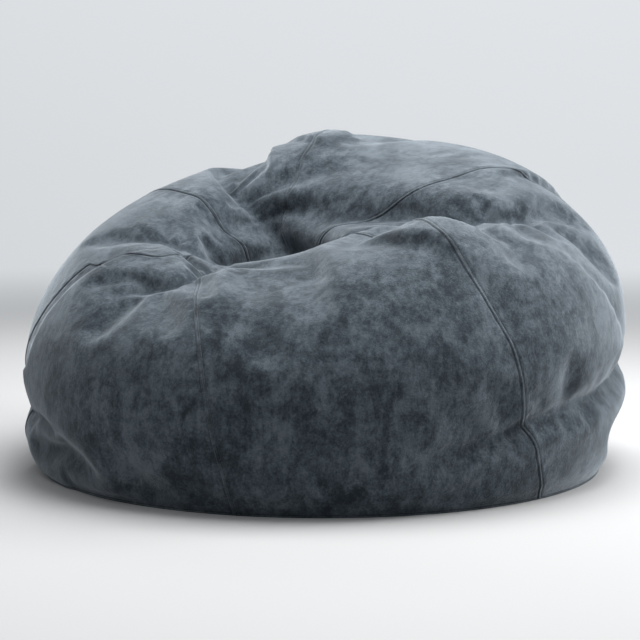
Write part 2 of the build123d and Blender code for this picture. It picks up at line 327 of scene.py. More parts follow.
def hold_weights():
    """How firmly each grid point is held: most at the floor, the zips, the cap and the creases."""
    hold = LOOSE_HOLD + (1 - LOOSE_HOLD) * near_zips() ** 2
    hold[rows < 1.5] = 1
    hold[rows > PANEL_ROWS - 1] = 1
    for crease in CREASES:
        if crease.depth < SHALLOW:
            continue
        away = np.linalg.norm(loose[..., None, :] - fold_line(crease), axis=-1)
        strength = run_out(crease, away.argmin(-1) / (FOLD_POINTS - 1))
        hold = np.maximum(hold, CREASE_HOLD * strength * np.exp(-((away.min(-1) / CREASE_HOLD_WIDTH) ** 2)))
    return hold


def slack_shape():
    """The fabric before it sags: longer at the floor, and wider at the rim and in the hollow."""
    from_axis = loose - CENTRE
    from_axis -= (from_axis @ SEAT_AXIS)[..., None] * SEAT_AXIS
    spare = np.interp(angles, *np.array(RIM_SPARE).T)
    spare *= smooth(alongs, CREST - 0.25, CREST + 0.1) * (1 - smooth(alongs, CAP_EDGE - 0.15, CAP_EDGE))
    points = loose + from_axis * spare[..., None]
    points[..., 2] -= np.interp(angles, *np.array(FLOOR_SPARE).T) * (1 - smooth(points[..., 2], 0, 0.40))
    return points


def settled(start, goal, hold):
    """The start shape as cloth, drawn to the goal where it is held, blown up a little and settled."""
    cloth = mesh_object("cloth", start, grid_faces(len(start), COLUMNS, closed=True))
    cloth.shape_key_add(name="start")
    key = cloth.shape_key_add(name="folded")
    key.data.foreach_set("co", goal.astype(np.float32).ravel())
    for frame_number, value in ((1, 0.0), (FOLDING_FRAMES, 1.0)):
        key.value = value
        key.keyframe_insert("value", frame=frame_number)
    group = cloth.vertex_groups.new(name="hold")
    for index, weight in enumerate(hold.ravel().tolist()):
        group.add([index], weight, "REPLACE")
    cloth_modifier = cloth.modifiers.new("cloth", "CLOTH")
    settings, contact = cloth_modifier.settings, cloth_modifier.collision_settings
    settings.quality = 6
    settings.mass = 0.15
    settings.air_damping = 2.0
    settings.tension_stiffness = settings.compression_stiffness = 25
    settings.shear_stiffness = 8
    settings.bending_stiffness = 20
    settings.tension_damping = settings.compression_damping = settings.shear_damping = 8
    settings.vertex_group_mass = "hold"
    settings.pin_stiffness = 3.0
    settings.shrink_min = -SLACK
    settings.use_pressure = True
    settings.uniform_pressure_force = PRESSURE
    settings.effector_weights.gravity = 0.0
    contact.use_collision = False
    contact.use_self_collision = False
    cloth_modifier.point_cache.frame_start = 1
    cloth_modifier.point_cache.frame_end = SETTLE_FRAMES
    scene = bpy.context.scene
    for number in range(1, SETTLE_FRAMES + 1):
        scene.frame_set(number)
    found = cloth.evaluated_get(bpy.context.evaluated_depsgraph_get()).to_mesh()
    points = np.zeros(len(found.vertices) * 3)
    found.vertices.foreach_get("co", points)
    bpy.data.objects.remove(cloth)
    scene.frame_set(1)
    return points.reshape(start.shape)


loose = folded(start_shape(), LOBES)
near = near_zips()[..., None]
shape = on_floor(folded(loose, CREASES) * (1 - near) + cad_surface(angles, alongs) * near)
shape = on_floor(settled(slack_shape(), shape, hold_weights()))


# ---- Reading the shape anywhere on it ----
def spline_weights(part):
    """Weights of the four grid lines round a place, on a uniform cubic B-spline."""
    before, after = (1 - part) ** 3 / 6, part**3 / 6
    return before, (3 * part**3 - 6 * part**2 + 4) / 6, (-3 * part**3 + 3 * part**2 + 3 * part + 1) / 6, after


def on_shape(grid, angle, row):
    """Points of a grid at angles and rows that may lie between its own."""
    column = np.asarray(angle) / 360 * COLUMNS
    left, low = np.floor(column).astype(int), np.floor(row).astype(int)
    found = 0
    for k, across in enumerate(spline_weights(column - left)):
        for m, up in enumerate(spline_weights(row - low)):
            at_row = low + m - 1
            inside = np.clip(at_row, 0, len(grid) - 1)
            at_column = (left + k - 1) % COLUMNS
            value = grid[inside, at_column]
            # Past either end the grid goes on straight.
            past = (at_row - inside)[..., None]
            if past.any():
                step = grid[np.clip(inside + 1, 0, len(grid) - 1), at_column] - value
                back = value - grid[np.clip(inside - 1, 0, len(grid) - 1), at_column]
                value = value + past * np.where(past < 0, step, back)
            found = found + (across * up)[..., None] * value
    return found


# ---- Seams ----
SEAMS = {  # (distance along the profile, angle) of each, in order round the bag
    "front": ((-0.2, 277), (0.0, 276), (0.23, 272), (0.37, 267), (0.45, 262), (0.56, 255), (0.72, 262),
              (0.9, 272)),
    "front_right": ((-0.35, 331), (0.0, 329), (0.28, 330), (0.44, 333), (0.55, 339), (0.68, 342), (0.9, 335)),
    "right": ((-0.6, 37), (-0.3, 37), (0.0, 37), (0.35, 38), (0.44, 38), (0.56, 33), (0.68, 30), (0.9, 35)),
    "back": ((-0.8, 97), (-0.4, 97), (0.0, 97), (0.3, 101), (0.5, 106), (0.61, 107), (0.76, 102), (0.9, 98)),
    "left": ((-0.6, 157), (0.0, 158), (0.3, 162), (0.48, 165), (0.58, 166), (0.7, 163), (0.9, 157)),
    "front_left": ((-0.35, 214), (0.30, 212), (0.39, 216), (0.48, 224), (0.55, 231), (0.7, 230), (0.9, 218)),
}
ZIPPED = ("right", "back")  # straight beside their zips


def seam_angle(index, row):
    """Angle of a seam at each row, in degrees, counted on from the first seam."""
    name = list(SEAMS)[index % len(SEAMS)]
    line = np.array(SEAMS[name])
    line[:, 1] = FIRST_SEAM + (line[:, 1] - FIRST_SEAM + 30) % 360 - 30
    even = spline(line, 80)
    angle = np.full(np.shape(row), even[0, 1])
    for _ in range(5):
        angle = np.interp(along_of(angle, row), even[:, 0], even[:, 1])
    if name in ZIPPED:
        angle = np.where(along_of(angle, row) < 0, line[0, 1], angle)
    return angle + 360 * (index // len(SEAMS))


NORMAL_STEP = 0.2  # degrees and rows, to either side of where a normal is found


def surface_at(angle, row):
    """(points, unit normals) of the bag's outer face."""
    points = on_shape(shape, angle, row)
    round_it = on_shape(shape, angle + NORMAL_STEP, row) - on_shape(shape, angle - NORMAL_STEP, row)
    up = on_shape(shape, angle, row + NORMAL_STEP) - on_shape(shape, angle, row - NORMAL_STEP)
    normals = np.cross(round_it, up)
    return points, normals / np.maximum(np.linalg.norm(normals, axis=-1, keepdims=True), 1e-12)


# ---- The cover and the liner ----
@dataclass
class Bag:
    """A sewn bag of six gores, a cap and a base, a depth inside the settled surface."""

    name: str
    depth: float
    thickness: float
    floor: float
    zip_seam: str
    opening_half: float  # width
    zip_low: float  # latitudes of the zip opening's ends
    zip_high: float
    row_count: int
    column_count: int
    sewn: bool  # whether its seams and hems are modelled in relief


COVER = Bag("cover", depth=0, thickness=COVER_THICKNESS, floor=0, zip_seam="back", opening_half=6.5 * MM,
            zip_low=-41.55, zip_high=5.4, row_count=176, column_count=54, sewn=True)
LINER = Bag("liner", depth=4.4 * MM, thickness=0.8 * MM, floor=COVER_THICKNESS, zip_seam="right",
            opening_half=5.5 * MM, zip_low=-33.6, zip_high=5.4, row_count=90, column_count=30, sewn=False)

# (distance from the seam, height off the smooth surface), in mm, of a sewn panel's face: on the side with the
# turned edge, on the other side, up from the base seam, and in from the zip's opening.
FELLED = np.array([(0, -0.6), (1, 1.2), (2.2, 0.7), (3.6, 1.7), (5.4, 2.2), (7.2, 2.0), (8.8, 0.9),
                   (10, -0.8), (11.4, -0.3), (14, 0.4), (19, 0.4), (26, 0)]) * MM
LAPPED = np.array([(0, -0.9), (1.2, -0.6), (3.6, 0.3), (7.2, 0.6), (14, 0.4), (26, 0)]) * MM
BASE_HEM = np.array([(0, -0.9), (1.5, -0.2), (3.4, 0.6), (5, -0.7), (6.6, 0.2), (10, 0.5), (20, 0)]) * MM
ZIP_HEM = np.array([(0, -0.8), (1, 0), (3, 0.2), (5.2, -0.6), (7.2, 0.1), (12, 0)]) * MM
EDGE_PLACES = np.array((0, 1.0, 2.2, 3.6, 5.4, 7.2, 8.8, 10.0, 11.4, 14.0, 19.0, 26.0)) * MM
BOTTOM_PLACES = np.array((0, 1.5, 3.4, 5.0, 6.6, 10.0, 15.0)) * MM
CAP_ROW = (CAP_END - CAP_EDGE) / CAP_ROWS  # length of one row of the grid on the cap
CAP_HEM = np.array([(0, -0.2), (1, 0.9), (2.6, 1.2), (4.6, 0.5), (6.6, 1.0), (12, 0)]) * MM
PUCKER = 0.8 * MM
PUCKER_REACH = 0.03  # from the seams


def latitude_along(latitude):
    """Distance along the profile at a latitude of the ball, in degrees."""
    return (radians(latitude) - ROLL_START) * BALL_RADIUS


def opening_half(bag, along):
    """Half the width of a bag's zip opening at a distance along its seam."""
    low, high = latitude_along(bag.zip_low), latitude_along(bag.zip_high)
    return bag.opening_half * smooth(along, low - 3 * MM, low) * (1 - smooth(along, high, high + 3 * MM))


def row_length(angle):
    """Length of one row of the grid on the panels, in metres."""
    return (CAP_EDGE - floor_along(angle)) / PANEL_ROWS


def is_zipped(bag, seam):
    """Whether a bag's zip is in a seam."""
    return list(SEAMS)[seam % len(SEAMS)] == bag.zip_seam


def zip_shift(bag, seam, angle, row):
    """How far a zip's opening moves a panel's edge from its seam, in degrees."""
    if not is_zipped(bag, seam):
        return 0.0
    along = along_of(angle, row)
    return np.degrees(opening_half(bag, along) / profile(along)[0])


def panel_places(bag, index):
    """(angle, row, distance from the first seam, and from the last) of a panel's points."""
    bottom = BOTTOM_PLACES / row_length(seam_angle(index, 0.0) + GORE_SPAN / 2)
    row = np.concatenate([bottom, np.linspace(bottom[-1], PANEL_ROWS, bag.row_count + 1)[1:]])
    first, last = seam_angle(index, row), seam_angle(index + 1, row)
    first = first + zip_shift(bag, index, first, row)
    last = last - zip_shift(bag, index + 1, last, row)
    between = first[:, None] + (last - first)[:, None] * np.linspace(0, 1, 90)
    points = on_shape(shape, between, np.broadcast_to(row[:, None], between.shape))
    steps = np.linalg.norm(np.diff(points, axis=1), axis=-1)
    length = np.hstack([np.zeros((len(row), 1)), np.cumsum(steps, axis=1)])
    width = length[:, -1:]
    edges = np.minimum(EDGE_PLACES, width * 0.45 * EDGE_PLACES / EDGE_PLACES[-1])
    middle_share = np.linspace(0, 1, bag.column_count + 2)[1:-1]
    middle = edges[:, -1:] + (width - 2 * edges[:, -1:]) * middle_share
    from_first = np.hstack([edges, middle, width - edges[:, ::-1]])
    angle = np.stack([np.interp(from_first[i], length[i], between[i]) for i in range(len(row))])
    return angle, np.broadcast_to(row[:, None], angle.shape), from_first, width - from_first


def height_beside(relief_line, distance):
    """Height of a relief at a distance from its seam or hem."""
    return np.interp(distance, relief_line[:, 0], relief_line[:, 1])


def sewn_relief(bag, index, angle, row, from_first, from_last):
    """How far a sewn panel's face stands off the smooth surface at its seams, stitches and hems."""
    along = along_of(angle, row)
    up = row * row_length(angle)
    relief = height_beside(BASE_HEM, up)
    puckered = 0.0
    for seam, distance, shape_line in ((index, from_first, LAPPED), (index + 1, from_last, FELLED)):
        heights = height_beside(shape_line, distance)
        if is_zipped(bag, seam):
            beside = opening_half(bag, along) / bag.opening_half
            heights = heights * (1 - beside) + height_beside(ZIP_HEM, distance) * beside
        at_base = 1 + 0.9 * np.exp(-((up / (9 * MM)) ** 2)) * (heights > 0)
        relief = relief + heights * at_base
        # Puckers about 31 and 47 mm apart, uneven over 190 mm.
        phase = along * tau
        ripple = np.sin(phase / 0.031 + 2 * np.sin(phase / 0.19 + seam))
        ripple = ripple + 0.7 * np.sin(phase / 0.047 + 3 * seam)
        fading = np.exp(-((distance / PUCKER_REACH) ** 2))
        puckered = puckered + ripple * smooth(distance, 0.009, 0.014) * fading
    return np.clip(relief + PUCKER * puckered, -1 * MM, 4 * MM)


def shell(name, outer, inner, closed=False):
    """A sheet with thickness, from the grids of its two faces. A closed one gets its middle filled."""
    count_rows, count_columns = outer.shape[:2]
    faces = np.array(grid_faces(count_rows, count_columns, closed))
    below = count_rows * count_columns
    ij = np.arange(below).reshape(count_rows, count_columns)
    if closed:
        rim = np.append(ij[0, ::-1], ij[0, -1])
    else:
        rim = np.concatenate([ij[0, ::-1], ij[1:, 0], ij[-1, 1:], ij[::-1, -1][1:]])
    sides = np.stack([rim[:-1], rim[1:], rim[1:] + below, rim[:-1] + below], -1)
    all_faces = np.concatenate([faces, faces[:, ::-1] + below, sides]).tolist()
    if closed:
        all_faces += [ij[-1].tolist(), (ij[-1, ::-1] + below).tolist()]
    return mesh_object(name, np.concatenate([outer.reshape(-1, 3), inner.reshape(-1, 3)]), all_faces)


def dress(piece, material, slot, *nodes):
    """Gives a piece its material and body, and hides the CAD nodes that it stands for."""
    piece.data.materials.append(material)
    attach(piece, "bag")
    if nodes:
        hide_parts(*nodes)
    return piece


def off_the_floor(bag, points):
    """Keeps a bag's points above its base."""
    points[..., 2] = np.maximum(points[..., 2], bag.floor + bag.thickness)
    return points


def make_panel(bag, index, material):
    """One gore, from the floor to the cap, with its turned edges and stitch grooves."""
    name = f"{bag.name}_panel_{GORES[index]}"
    angle, row, from_first, from_last = panel_places(bag, index)
    points, normals = surface_at(angle, row)
    relief = np.zeros(row.shape)
    if bag.sewn:
        relief = sewn_relief(bag, index, angle, row, from_first, from_last)
    outer = off_the_floor(bag, points + normals * (relief - bag.depth)[..., None])
    inner = off_the_floor(bag, points - normals * (bag.depth + bag.thickness))
    panel = dress(shell(f"{name}_sewn", outer, inner), material, f"{bag.name}_fabric", name)
    middle = seam_angle(index, 0.0) + GORE_SPAN / 2


def make_cap(bag, material):
    """The round patch where the gores meet, with its edge turned under and stitched down."""
    hem_rows = PANEL_ROWS + np.array((0, 0.1, 0.2, 0.35, 0.5, 0.65, 0.8))
    row = np.concatenate([hem_rows, np.linspace(PANEL_ROWS + 1, PANEL_ROWS + CAP_ROWS, 24)])
    angle, row = np.meshgrid(np.linspace(0, 360, 145)[:-1], row)
    points, normals = surface_at(angle, row)
    depth = bag.depth * np.ones(row.shape)
    if bag.sewn:
        depth -= height_beside(CAP_HEM, (row - PANEL_ROWS) * CAP_ROW)
    outer = points - normals * depth[..., None]
    inner = points - normals * (bag.depth + bag.thickness)
    faces = []
    shares = np.array((0.6, 0.25))[:, None, None]
    for face in (outer, inner):
        middle = face[-1].mean(axis=0)
        faces.append(np.concatenate([face, middle + (face[-1] - middle) * shares]))
    cap = dress(shell(f"{bag.name}_cap_sewn", *faces, closed=True), material, f"{bag.name}_fabric",
                f"{bag.name}_top_cap")


def make_base(bag, material):
    """The flat panel that the bag stands on, cut to the gores' lower edges."""
    angle = np.linspace(0, 360, 361)[:-1]
    edge = on_shape(shape, angle, np.zeros(len(angle)))
    middle = edge.mean(axis=0)
    out = edge - middle
    out /= np.linalg.norm(out[:, :2], axis=1, keepdims=True)
    reach = 0.8 * MM - bag.depth
    shares = (1, 0.995, 0.985, 0.97, 0.94, 0.88, 0.8, 0.7, 0.6, 0.5, 0.4, 0.3, 0.2, 0.1, 0.03)
    top = np.array([middle + (edge + out * reach - middle) * share for share in shares])
    top[..., 2] = bag.floor + bag.thickness
    under = top.copy()
    under[..., 2] = bag.floor
    base = dress(shell(f"{bag.name}_base_sewn", top, under, closed=True), material, f"{bag.name}_fabric",
                 f"{bag.name}_base_panel")


# ---- Thread ----
STITCH_PITCH = 6 * MM
STITCH_LENGTH = 4.6 * MM
THREAD = 0.6 * MM  # radius
STITCH_SIDES = 5
STITCH_END = 0.55  # of the thread's radius, where it goes into the fabric
# Along a stitch, as shares of its length, with how far each place dips into the fabric, in thread radii.
STITCH_PLACES = ((-0.5, 1.3), (-0.36, 0.2), (0, 0), (0.36, 0.2), (0.5, 1.3))


def interpolated(at, length, vectors):
    """The vectors at distances along a line, from those at the given lengths."""
    return np.stack([np.interp(at, length, vectors[:, k]) for k in range(3)], -1)


def thread_line(angle, row, height):
    """A line of stitches on the bag: their (middles, normals, tangents, heights off the surface)."""
    points, normals = surface_at(angle, row)
    steps = np.linalg.norm(np.diff(points, axis=0), axis=1)
    length = np.concatenate([[0], np.cumsum(steps)])
    at = np.arange(STITCH_PITCH, length[-1] - STITCH_PITCH, STITCH_PITCH)
    middles = interpolated(at, length, points)
    tangents = interpolated(at + 1 * MM, length, points) - middles
    tangents /= np.linalg.norm(tangents, axis=1, keepdims=True)
    return middles, interpolated(at, length, normals), tangents, np.full(len(at), height)


def rings_round(middles, sideways, upward, radius, turn):
    """A ring of points round each of several middles, at the given turns."""
    across, up = np.cos(turn)[None, :, None], np.sin(turn)[None, :, None]
    return middles[:, None] + radius * (across * sideways[:, None] + up * upward[:, None])


def stitch_mesh(name, lines):
    """One mesh of all the stitches on several lines."""
    points, normals, tangents, heights = (np.concatenate(parts) for parts in zip(*lines))
    sides = np.cross(tangents, normals)
    turn = np.linspace(0, tau, STITCH_SIDES + 1)[:-1]
    rings = []
    for place, dip in STITCH_PLACES:
        size = THREAD * (STITCH_END if abs(place) == 0.5 else 1)
        middle = points + tangents * place * STITCH_LENGTH + normals * (heights - dip * THREAD)[:, None]
        rings.append(rings_round(middle, sides, normals, size, turn))
    vertices = np.stack(rings, axis=1)
    count = len(STITCH_PLACES) * STITCH_SIDES
    ij = np.arange(count).reshape(len(STITCH_PLACES), STITCH_SIDES)
    ij = np.hstack([ij, ij[:, :1]])
    quads = np.stack([ij[:-1, 1:], ij[:-1, :-1], ij[1:, :-1], ij[1:, 1:]], -1).reshape(-1, 4)
    faces = []
    for start in range(0, len(points) * count, count):
        faces += (quads + start).tolist()
        faces.append((ij[0, :-1] + start).tolist())
        faces.append((ij[-1, :-1][::-1] + start).tolist())
    return mesh_object(name, vertices.reshape(-1, 3), faces)


def metres_per_degree(angle, row):
    """How far a degree round the bag reaches at places on it."""
    step = 0.5
    return np.linalg.norm(on_shape(shape, angle + step, row) - on_shape(shape, angle, row), axis=1) / step


def seam_line(seam, offset, low_row, high_row):
    """(angles, rows) of a line beside a seam, offset in metres towards the next gore."""
    row = np.linspace(low_row, high_row, 260)
    on_seam = seam_angle(seam, row)
    angle = on_seam
    for _ in range(2):
        angle = on_seam + offset / metres_per_degree(angle, row)
    return angle, row


def make_seam_stitches(index, material):
    """The two rows of topstitching down a felled seam, or those above a zip and beside its opening."""
    lines = []
    low = start = 7 * MM / row_length(seam_angle(index, 0.0))
    if is_zipped(COVER, index):
        row = np.linspace(0, PANEL_ROWS, 400)
        along = along_of(seam_angle(index, row), row)
        start = float(row[along > latitude_along(COVER.zip_high) + 6 * MM][0])
        end = float(row[along < latitude_along(COVER.zip_low) - 6 * MM][-1])
        first = float(row[along > latitude_along(COVER.zip_low)][0])
        for side in (-1, 1):
            offset = side * (COVER.opening_half + 5.2 * MM)
            lines.append(thread_line(*seam_line(index, offset, first, start), 0.1 * MM))
            lines.append(thread_line(*seam_line(index, side * 2.2 * MM, low, end), 0.8 * MM))
    top = PANEL_ROWS - 1.2
    lines.append(thread_line(*seam_line(index, -2.2 * MM, start, top), 1.0 * MM))
    lines.append(thread_line(*seam_line(index, -10 * MM, start, top), -0.3 * MM))
    dress(stitch_mesh(f"cover_stitches_{list(SEAMS)[index]}", lines), material, "cover_fabric")


def make_ring_stitches(material):
    """The stitches round the cap and along the base hem."""
    angle = np.linspace(0, 360, 721)
    cap_row = np.full(len(angle), PANEL_ROWS + 4.6 * MM / CAP_ROW)
    base_row = 5 * MM / row_length(angle)
    for word, row, height in (("cap", cap_row, 0.8 * MM), ("base", base_row, -0.2 * MM)):
        stitches = stitch_mesh(f"cover_stitches_{word}", [thread_line(angle, row, height)])
        dress(stitches, material, "cover_fabric")


# ---- Filling, coils and label ----
FILL_DEPTH = 9 * MM  # under the cover
LUMP_SIZE = 0.022
LUMP_HEIGHT = 2.5 * MM


def make_filling(material):
    """The shredded foam inside, as one lumpy mass under the liner."""
    floor = LINER.floor + LINER.thickness + 0.4 * MM
    row = np.linspace(0, PANEL_ROWS + CAP_ROWS, 150)
    angle, row = np.meshgrid(np.linspace(0, 360, 421)[:-1], row)
    points, normals = surface_at(angle, row)
    lumps = np.array([noise.noise(Vector(point) / LUMP_SIZE) for point in points.reshape(-1, 3)])
    lumps = lumps.reshape(row.shape)
    pressed = smooth(row, 0, 2)
    points = points - normals * (FILL_DEPTH + LUMP_HEIGHT * (lumps + 0.6) * pressed)[..., None]
    points[..., 2] = np.maximum(points[..., 2], floor)
    points[0, :, 2] = floor
    count_rows, count_columns = row.shape
    faces = grid_faces(count_rows, count_columns, closed=True)
    ij = np.arange(count_rows * count_columns).reshape(count_rows, count_columns)
    faces += [ij[0, ::-1].tolist(), ij[-1].tolist()]
    filling = dress(mesh_object("foam_filling", points, faces), material, "foam", "foam_fill")


@dataclass
class Coil:
    """One side of a zip: a coil of wire in a seam."""

    bag: str
    slot: str
    seam: float  # angle
    low: float  # latitudes of its ends
    base: float  # distance of the wire's middle from the ball's, at the back of its loops
    height: float
    inner: float  # distances of its two edges from the zip's middle
    outer: float
    pitch: float
    wire: float  # radius
    high: float = 4.8


COILS = (
    Coil("cover", "zip_coil", ZIP_SEAM, low=-40.95, base=BALL_RADIUS - 1.8 * MM, height=2.1 * MM,
         inner=0.55 * MM, outer=3.4 * MM, pitch=1.6 * MM, wire=0.34 * MM),
    Coil("liner", "liner_coil", LINER_ZIP_SEAM, low=-33.0, base=BALL_RADIUS - 5.4 * MM, height=1.6 * MM,
         inner=0.6 * MM, outer=2.8 * MM, pitch=1.4 * MM, wire=0.28 * MM),
)
TURN_POINTS = 10  # of a coil's path
WIRE_SIDES = 5


def coil_path(coil, side):
    """Points along a zip's coil, which follows the seam's arc between two latitudes."""
    turns = radians(coil.high - coil.low) * BALL_RADIUS / coil.pitch
    turn = np.linspace(0, turns * tau, int(turns * TURN_POINTS))
    latitude = radians(coil.low) + radians(coil.high - coil.low) * turn / (turns * tau)
    out_level = outward(coil.seam)
    hinge = np.cross(SEAT_AXIS, out_level)
    out = np.cos(latitude)[:, None] * out_level + np.sin(latitude)[:, None] * SEAT_AXIS
    inner, outer = coil.inner + coil.wire, coil.outer - coil.wire
    across = side * ((inner + outer) / 2 + (outer - inner) / 2 * np.cos(turn))
    radius = coil.base + coil.height / 2 + coil.height / 2 * np.sin(turn)
    return CENTRE + out * radius[:, None] + hinge * across[:, None]


def make_coil(coil, word, side, material):
    """A coil's wire, as a tube along its path."""
    path = coil_path(coil, side)
    tangents = np.gradient(path, axis=0)
    tangents /= np.linalg.norm(tangents, axis=1, keepdims=True)
    sideways = np.cross(tangents, path - CENTRE)
    sideways /= np.linalg.norm(sideways, axis=1, keepdims=True)
    upward = np.cross(sideways, tangents)
    turn = np.linspace(0, tau, WIRE_SIDES + 1)[:-1]
    rings = rings_round(path, sideways, upward, coil.wire, turn)
    faces = grid_faces(len(path), WIRE_SIDES, closed=True)
    last = (len(path) - 1) * WIRE_SIDES
    faces += [list(range(WIRE_SIDES))[::-1], list(range(last, last + WIRE_SIDES))]
    name = f"{coil.bag}_zip_coil_{word}"
    dress(mesh_object(f"{name}_wound", rings, faces), material, coil.slot, name)


LABEL_SEAM = list(SEAMS).index("left")
LABEL_LOW, LABEL_HIGH = -24.0, -21.4  # latitudes
LABEL_WIDTH = 26 * MM
LABEL_GAP = 0.5 * MM  # from the seam
LABEL_THICKNESS = 1 * MM
LABEL_POINTS = 22  # each way


def make_label(material):
    """A blank folded tag, caught in the side seam and lying on the panel."""
    low, high = latitude_along(LABEL_LOW), latitude_along(LABEL_HIGH)
    row = np.linspace(0, PANEL_ROWS, 1500)
    along = along_of(seam_angle(LABEL_SEAM, row), row)
    row = np.interp(np.linspace(low, high, LABEL_POINTS), along, row)
    across = np.linspace(LABEL_GAP, LABEL_WIDTH, LABEL_POINTS)
    seam = seam_angle(LABEL_SEAM, row)
    angle = seam[:, None] + across / metres_per_degree(seam, row)[:, None]
    points, normals = surface_at(angle, np.broadcast_to(row[:, None], angle.shape))
    part = across / LABEL_WIDTH
    lift = 0.9 * MM + 1.2 * MM * part**2 + 0.5 * MM * np.sin(np.linspace(0, 3, LABEL_POINTS))[:, None] * part
    outer, inner = points + normals * (lift + LABEL_THICKNESS)[..., None], points + normals * lift[..., None]
    label = dress(shell("care_label_folded", outer, inner), material, "label", "care_label")


# ---- Materials ----
def set_inputs(tree, node, inputs):
    """Sets or links a node's inputs, by name or number."""
    for socket, value in inputs.items():
        if isinstance(value, bpy.types.NodeSocket):
            tree.links.new(value, node.inputs[socket])
        else:
            node.inputs[socket].default_value = value


def add_node(tree, kind, inputs=None, **settings):
    """A node, with its settings and inputs."""
    node = tree.nodes.new(kind)
    for name, value in settings.items():
        setattr(node, name, value)
    set_inputs(tree, node, inputs or {})
    return node


def position(tree, stretch=(1, 1, 1)):
    """Where a surface point is, in metres, squeezed along each axis."""
    coordinates = add_node(tree, "ShaderNodeTexCoord").outputs["Object"]
    return add_node(tree, "ShaderNodeMapping", {"Vector": coordinates, "Scale": stretch}).outputs["Vector"]


def noise_of(tree, size, detail=3.0, rough=0.5, distortion=0.0, stretch=(1, 1, 1)):
    """Noise with features of about a size in metres, from 0 to 1."""
    inputs = {"Vector": position(tree, stretch), "Scale": 1 / size, "Detail": detail, "Roughness": rough,
              "Distortion": distortion}
    return add_node(tree, "ShaderNodeTexNoise", inputs).outputs["Fac"]


def maths(tree, operation, *values):
    """A number worked out from others."""
    return add_node(tree, "ShaderNodeMath", dict(enumerate(values)), operation=operation).outputs[0]


def vector_maths(tree, operation, *values):
    """A node that works out a number or a vector from vectors."""
    return add_node(tree, "ShaderNodeVectorMath", dict(enumerate(values)), operation=operation)


def added(tree, *layers):
    """The sum of (value, weight) layers."""
    total = 0.0
    for value, weight in layers:
        total = maths(tree, "MULTIPLY_ADD", value, weight, total)
    return total


def wave(tree, value, pitch):
    """A sine over a value in metres, from -1 to 1, with its crests a pitch apart."""
    return maths(tree, "SINE", maths(tree, "MULTIPLY", value, tau / pitch))


def ranged(tree, value, low, high, **limits):
    """A value from 0 to 1, or between other limits, as one from low to high."""
    inputs = {"Value": value, "To Min": low, "To Max": high}
    inputs |= {name.replace("_", " "): limit for name, limit in limits.items()}
    return add_node(tree, "ShaderNodeMapRange", inputs).outputs["Result"]


def ramp(tree, factor, *stops):
    """Colour by a factor, from (place, colour) stops."""
    node = add_node(tree, "ShaderNodeValToRGB", {"Fac": factor})
    while len(node.color_ramp.elements) < len(stops):
        node.color_ramp.elements.new(0.5)
    for element, (at, colour) in zip(node.color_ramp.elements, stops):
        element.position = at
        element.color = (*colour, 1)
    return node.outputs["Color"]


def tinted(tree, colour, factor, low, high):
    """A colour made darker or lighter by a factor from 0 to 1."""
    inputs = {0: colour, 3: ranged(tree, factor, low, high)}
    return add_node(tree, "ShaderNodeVectorMath", inputs, operation="SCALE").outputs["Vector"]


def bumped(tree, height, depth, under=None, strength=1.0):
    """A bump of a depth in metres, laid over another."""
    inputs = {"Height": height, "Distance": depth, "Strength": strength}
    if under is not None:
        inputs["Normal"] = under
    return add_node(tree, "ShaderNodeBump", inputs).outputs["Normal"]


def new_material(name):
    """A material, with its node tree."""
    material = bpy.data.materials.new(name)
    material.use_nodes = True
    return material, material.node_tree


def finished(material, colour, roughness, normal, **others):
    """The material, with its shader's inputs set or linked."""
    inputs = {"Base Color": colour, "Roughness": roughness}
    if normal is not None:
        inputs["Normal"] = normal
    inputs |= {name.replace("_", " "): value for name, value in others.items()}
    set_inputs(material.node_tree, material.node_tree.nodes["Principled BSDF"], inputs)
    return material


SUEDE_DARK = (0.015, 0.021, 0.028)
SUEDE_MIDDLE = (0.038, 0.050, 0.061)
SUEDE_LIGHT = (0.083, 0.101, 0.118)


def suede():
    """Slate micro-suede, with a nap brushed light and dark in patches and streaks."""
    material, tree = new_material("slate_micro_suede")
    patches = noise_of(tree, 0.085, detail=7, rough=0.62, distortion=0.5)
    blotches = noise_of(tree, 0.018, detail=7, rough=0.74, distortion=0.25, stretch=(1, 1, 0.75))
    streaks = noise_of(tree, 0.030, detail=5, rough=0.65, distortion=0.2, stretch=(1.5, 1.5, 0.4))
    specks = noise_of(tree, 0.0055, detail=4, rough=0.8)
    nap = added(tree, (patches, 0.38), (blotches, 0.26), (streaks, 0.16), (specks, 0.20))
    colour = ramp(tree, nap, (0.43, SUEDE_DARK), (0.49, SUEDE_MIDDLE), (0.565, SUEDE_LIGHT))
    grain = noise_of(tree, 0.0016, detail=2, rough=0.6)
    pebble = noise_of(tree, 0.0042, detail=3, rough=0.6)
    colour = tinted(tree, colour, grain, 0.72, 1.28)
    roughness = ranged(tree, nap, 0.98, 0.82, From_Min=0.35, From_Max=0.65)
    normal = bumped(tree, blotches, 0.0016, strength=0.6)
    normal = bumped(tree, pebble, 0.0011, normal, strength=0.7)
    normal = bumped(tree, grain, 0.0005, normal, strength=0.8)
    return finished(material, colour, roughness, normal, Specular_IOR_Level=0.2,
                    Sheen_Weight=0.6, Sheen_Roughness=0.36, Sheen_Tint=(0.80, 0.88, 0.95, 1))


def thread(name, colour):
    """Spun thread, with its plies showing as fine slanting ribs."""
    material, tree = new_material(name)
    inputs = {"Vector": position(tree), "Scale": 480.0, "Distortion": 3.0, "Detail": 2.0}
    plies = add_node(tree, "ShaderNodeTexWave", inputs, bands_direction="DIAGONAL").outputs["Fac"]
    lint = noise_of(tree, 0.002, detail=3)
    normal = bumped(tree, plies, 0.0002, strength=0.8)
    base = ramp(tree, lint, (0.3, tuple(0.6 * part for part in colour)), (0.7, colour))
    return finished(material, base, 0.7, normal, Sheen_Weight=0.2)


